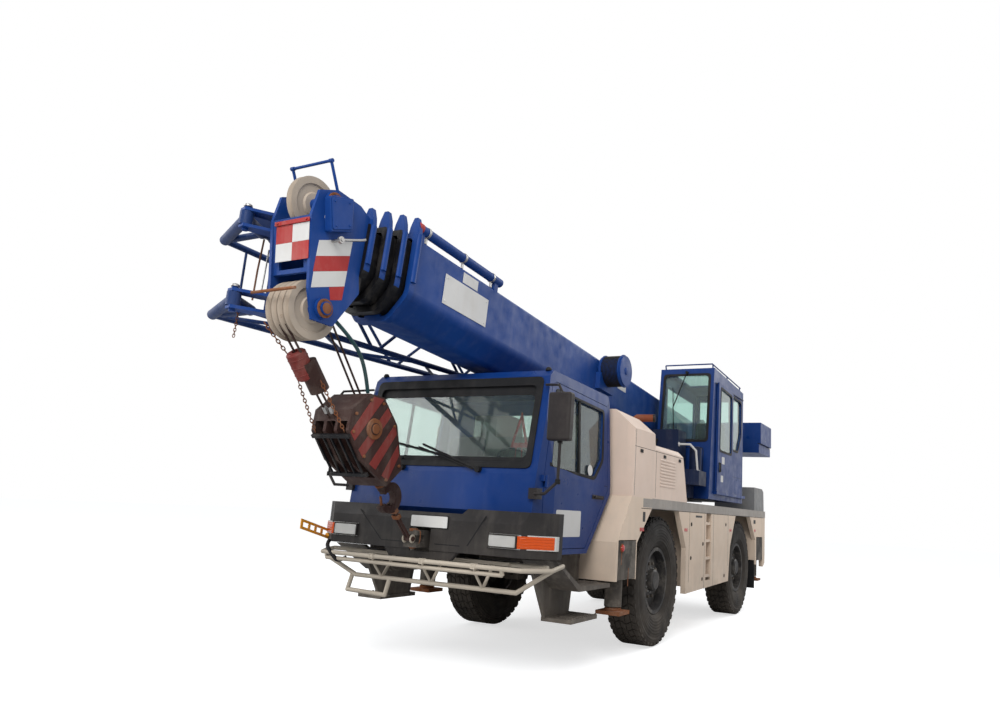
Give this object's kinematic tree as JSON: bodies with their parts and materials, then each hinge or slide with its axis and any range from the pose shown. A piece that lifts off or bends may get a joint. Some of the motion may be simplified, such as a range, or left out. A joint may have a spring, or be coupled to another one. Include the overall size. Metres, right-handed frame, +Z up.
{
  "type": "mobile crane",
  "caption": "Mobile crane carrier with a low front driving cab, slewing platform with operator's cab and counterweight, telescopic boom, folding lattice jib and lashed hook block.",
  "frame": {"origin": "ground level under the middle of the machine's length and width", "axes": "+Z up, -Y forwards towards the front cab, +X to the machine's left"},
  "size_m": [2.7, 10.2179, 3.7574],
  "materials": {
    "black_steel": "satin",
    "blue_paint": "gloss",
    "brown_steel": "satin",
    "cast": "matt",
    "cream_paint": "satin",
    "dark_plastic": "matt",
    "dark_steel": "satin",
    "deck_grey": "satin",
    "grey_paint": "satin",
    "lamp": "gloss",
    "rod_steel": "polished",
    "rusty_steel": "matt",
    "sheave": "matt",
    "trim_plastic": "matt",
    "tyre": "matt",
    "white_paint": "satin",
    "window_glass": "gloss"
  },
  "bodies": {
    "carrier": {"carrier_frame": "dark_steel", "deck": "deck_grey", "body_panels": "cream_paint", "rear_lockers": "grey_paint", "outrigger_boxes": "dark_steel", "axles": "cast", "engine_cowling": "cream_paint", "exhaust": "rusty_steel", "engine_block": "cast", "cab_shell": "blue_paint", "cab_glass": "window_glass", "cab_interior": "trim_plastic", "bumper": "dark_plastic", "headlamps": "lamp", "front_rack": "black_steel", "cab_steps": "black_steel", "mirrors": "dark_plastic"},
    "cab_door_left_leaf": {"cab_door_left": "blue_paint", "cab_door_glass_left": "window_glass"},
    "cab_door_right_leaf": {"cab_door_right": "blue_paint", "cab_door_glass_right": "window_glass"},
    "knuckle_front_left_body": {"knuckle_front_left": "cast"},
    "wheel_front_left": {"tyre_front_left": "tyre", "rim_front_left": "dark_steel"},
    "knuckle_front_right_body": {"knuckle_front_right": "cast"},
    "wheel_front_right": {"tyre_front_right": "tyre", "rim_front_right": "dark_steel"},
    "knuckle_rear_left_body": {"knuckle_rear_left": "cast"},
    "wheel_rear_left": {"tyre_rear_left": "tyre", "rim_rear_left": "dark_steel"},
    "knuckle_rear_right_body": {"knuckle_rear_right": "cast"},
    "wheel_rear_right": {"tyre_rear_right": "tyre", "rim_rear_right": "dark_steel"},
    "outrigger_front_left": {"outrigger_beam_front_left": "dark_steel"},
    "jack_front_left_body": {"jack_front_left": "rusty_steel"},
    "outrigger_front_right": {"outrigger_beam_front_right": "dark_steel"},
    "jack_front_right_body": {"jack_front_right": "rusty_steel"},
    "outrigger_rear_left": {"outrigger_beam_rear_left": "dark_steel"},
    "jack_rear_left_body": {"jack_rear_left": "rusty_steel"},
    "outrigger_rear_right": {"outrigger_beam_rear_right": "dark_steel"},
    "jack_rear_right_body": {"jack_rear_right": "rusty_steel"},
    "superstructure": {"turntable": "blue_paint", "handrail": "white_paint", "winch": "grey_paint", "counterweight": "blue_paint", "operator_cab": "blue_paint", "operator_glass": "window_glass", "operator_seat": "trim_plastic"},
    "operator_door_leaf": {"operator_door": "blue_paint", "operator_door_glass": "window_glass"},
    "boom_base_body": {"boom_base": "blue_paint"},
    "boom_part_1_body": {"boom_part_1": "black_steel"},
    "boom_part_2_body": {"boom_part_2": "black_steel"},
    "boom_head_body": {"boom_head": "blue_paint", "head_sheaves": "sheave"},
    "luff_barrel_body": {"luff_barrel": "blue_paint"},
    "luff_rod_body": {"luff_rod": "rod_steel"},
    "jib_body": {"jib": "blue_paint"},
    "hook_body": {"hook_block": "brown_steel"}
  },
  "joints": [
    {"name": "cab_door_left_hinge", "type": "hinge", "parent": "carrier", "child": "cab_door_left_leaf", "pos_m": [1.036, -2.903, 1.2], "axis": [0, 0, -1], "range_deg": [0, 70]},
    {"name": "cab_door_right_hinge", "type": "hinge", "parent": "carrier", "child": "cab_door_right_leaf", "pos_m": [-1.036, -2.903, 1.2], "axis": [0, 0, 1], "range_deg": [0, 70]},
    {"name": "steer_front_left", "type": "hinge", "parent": "carrier", "child": "knuckle_front_left_body", "pos_m": [0.74, -0.501, 0.683], "axis": [0, 0, 1], "range_deg": [-32, 32]},
    {"name": "spin_front_left", "type": "hinge", "parent": "knuckle_front_left_body", "child": "wheel_front_left", "pos_m": [1.01, -0.501, 0.683], "axis": [1, 0, 0], "continuous": true},
    {"name": "steer_front_right", "type": "hinge", "parent": "carrier", "child": "knuckle_front_right_body", "pos_m": [-0.74, -0.501, 0.683], "axis": [0, 0, 1], "range_deg": [-32, 32]},
    {"name": "spin_front_right", "type": "hinge", "parent": "knuckle_front_right_body", "child": "wheel_front_right", "pos_m": [-1.01, -0.501, 0.683], "axis": [1, 0, 0], "continuous": true},
    {"name": "steer_rear_left", "type": "hinge", "parent": "carrier", "child": "knuckle_rear_left_body", "pos_m": [0.74, 2.999, 0.683], "axis": [0, 0, 1], "range_deg": [-32, 32]},
    {"name": "spin_rear_left", "type": "hinge", "parent": "knuckle_rear_left_body", "child": "wheel_rear_left", "pos_m": [1.01, 2.999, 0.683], "axis": [1, 0, 0], "continuous": true},
    {"name": "steer_rear_right", "type": "hinge", "parent": "carrier", "child": "knuckle_rear_right_body", "pos_m": [-0.74, 2.999, 0.683], "axis": [0, 0, 1], "range_deg": [-32, 32]},
    {"name": "spin_rear_right", "type": "hinge", "parent": "knuckle_rear_right_body", "child": "wheel_rear_right", "pos_m": [-1.01, 2.999, 0.683], "axis": [1, 0, 0], "continuous": true},
    {"name": "extend_outrigger_front_left", "type": "slide", "parent": "carrier", "child": "outrigger_front_left", "axis": [1, 0, 0], "range_m": [0, 1.75]},
    {"name": "lower_jack_front_left", "type": "slide", "parent": "outrigger_front_left", "child": "jack_front_left_body", "axis": [0, 0, -1], "range_m": [0, 0.42]},
    {"name": "extend_outrigger_front_right", "type": "slide", "parent": "carrier", "child": "outrigger_front_right", "axis": [-1, 0, 0], "range_m": [0, 1.75]},
    {"name": "lower_jack_front_right", "type": "slide", "parent": "outrigger_front_right", "child": "jack_front_right_body", "axis": [0, 0, -1], "range_m": [0, 0.42]},
    {"name": "extend_outrigger_rear_left", "type": "slide", "parent": "carrier", "child": "outrigger_rear_left", "axis": [1, 0, 0], "range_m": [0, 1.75]},
    {"name": "lower_jack_rear_left", "type": "slide", "parent": "outrigger_rear_left", "child": "jack_rear_left_body", "axis": [0, 0, -1], "range_m": [0, 0.42]},
    {"name": "extend_outrigger_rear_right", "type": "slide", "parent": "carrier", "child": "outrigger_rear_right", "axis": [-1, 0, 0], "range_m": [0, 1.75]},
    {"name": "lower_jack_rear_right", "type": "slide", "parent": "outrigger_rear_right", "child": "jack_rear_right_body", "axis": [0, 0, -1], "range_m": [0, 0.42]},
    {"name": "slew", "type": "hinge", "parent": "carrier", "child": "superstructure", "pos_m": [0, 1.999, 1.6], "axis": [0, 0, 1], "continuous": true},
    {"name": "operator_door_slide", "type": "slide", "parent": "superstructure", "child": "operator_door_leaf", "axis": [0, 1, 0], "range_m": [0, 0.56]},
    {"name": "boom_luff", "type": "hinge", "parent": "superstructure", "child": "boom_base_body", "pos_m": [0, 3.299, 2.48], "axis": [-1, 0, 0], "range_deg": [0, 76]},
    {"name": "telescope_boom_part_1", "type": "slide", "parent": "boom_base_body", "child": "boom_part_1_body", "axis": [0, -0.9976, 0.0698], "range_m": [0, 5.9]},
    {"name": "telescope_boom_part_2", "type": "slide", "parent": "boom_part_1_body", "child": "boom_part_2_body", "axis": [0, -0.9976, 0.0698], "range_m": [0, 5.9]},
    {"name": "telescope_boom_head", "type": "slide", "parent": "boom_part_2_body", "child": "boom_head_body", "axis": [0, -0.9976, 0.0698], "range_m": [0, 5.9]},
    {"name": "luff_barrel_pivot", "type": "hinge", "parent": "superstructure", "child": "luff_barrel_body", "pos_m": [0, 3.099, 1.89], "axis": [-1, 0, 0], "range_deg": [0, 69.7]},
    {"name": "luff_rod_slide", "type": "slide", "parent": "luff_barrel_body", "child": "luff_rod_body", "axis": [0, -0.9835, 0.181], "range_m": [0, 0.7903]},
    {"name": "jib_swing", "type": "hinge", "parent": "boom_head_body", "child": "jib_body", "pos_m": [-0.35, -5.061, 2.99], "axis": [0, 0, 1], "range_deg": [0, 180]},
    {"name": "hook_swing", "type": "hinge", "parent": "boom_head_body", "child": "hook_body", "pos_m": [0, -4.77115, 2.65938], "axis": [-1, 0, 0], "range_deg": [0, 41.2]}
  ],
  "couplings": [
    {"joint": "steer_front_right", "follows": "steer_front_left", "ratio": 1},
    {"joint": "steer_rear_right", "follows": "steer_rear_left", "ratio": 1},
    {"joint": "telescope_boom_part_2", "follows": "telescope_boom_part_1", "ratio": 1},
    {"joint": "telescope_boom_head", "follows": "telescope_boom_part_1", "ratio": 1},
    {"joint": "luff_barrel_pivot", "follows": "boom_luff", "ratio": 0.904},
    {"joint": "luff_rod_slide", "follows": "boom_luff", "m_per_rad": 0.592}
  ]
}
